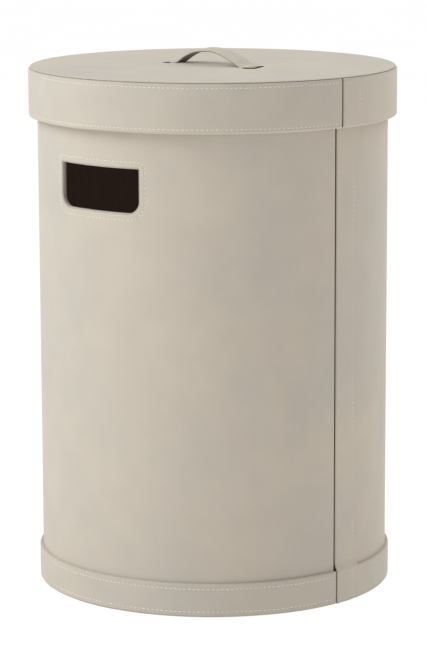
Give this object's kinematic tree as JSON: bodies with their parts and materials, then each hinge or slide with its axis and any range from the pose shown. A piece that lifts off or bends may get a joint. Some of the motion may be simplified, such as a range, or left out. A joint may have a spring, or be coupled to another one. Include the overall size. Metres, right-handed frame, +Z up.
{
  "type": "round lidded storage bin",
  "caption": "Tall round storage bin: a rigid board tube covered in stitched leather-look fabric, with side hand holes, a base band and a lift-off lid with a strap handle.",
  "frame": {"origin": "middle of the flat underside, on the floor", "axes": "+Z up through the lid; the hand holes face -X and +X; the strap handle runs along Y; the closing seam is at -Y"},
  "size_m": [0.397, 0.397, 0.579],
  "materials": {
    "cover_material": "matte, faintly mottled, fine suede-like grain",
    "strap_material": "matte, folded double",
    "stitch_thread": "pale twisted thread",
    "dark_lining": "brown woven lining",
    "underside_felt": "dark non-woven felt",
    "board": "raw dark brown board",
    "padding": "thin foam wadding",
    "staple_steel": "bright wire"
  },
  "bodies": {
    "bin": {"wall_core": "board", "outer_cover": "cover_material", "seam_strip": "cover_material", "hand_hole_binding_left": "cover_material", "hand_hole_binding_right": "cover_material", "wall_lining": "dark_lining", "top_edge_binding": "cover_material", "base_board": "board", "base_lining": "dark_lining", "underside_cover": "underside_felt", "base_band_core": "board", "base_band_cover": "cover_material", "base_staples": "staple_steel"},
    "lid": {"lid_top_board": "board", "lid_top_padding": "padding", "lid_top_cover": "cover_material", "lid_rim_core": "board", "lid_rim_cover": "cover_material", "lid_seam_strip": "cover_material", "lid_rim_lining": "dark_lining", "lid_underside_lining": "dark_lining", "handle_strap": "strap_material", "strap_staples": "staple_steel"}
  },
  "joints": [
    {"name": "lid_lift", "type": "slide", "parent": "bin", "child": "lid", "axis": [0, 0, 1], "range_m": [0, 0.15]}
  ]
}
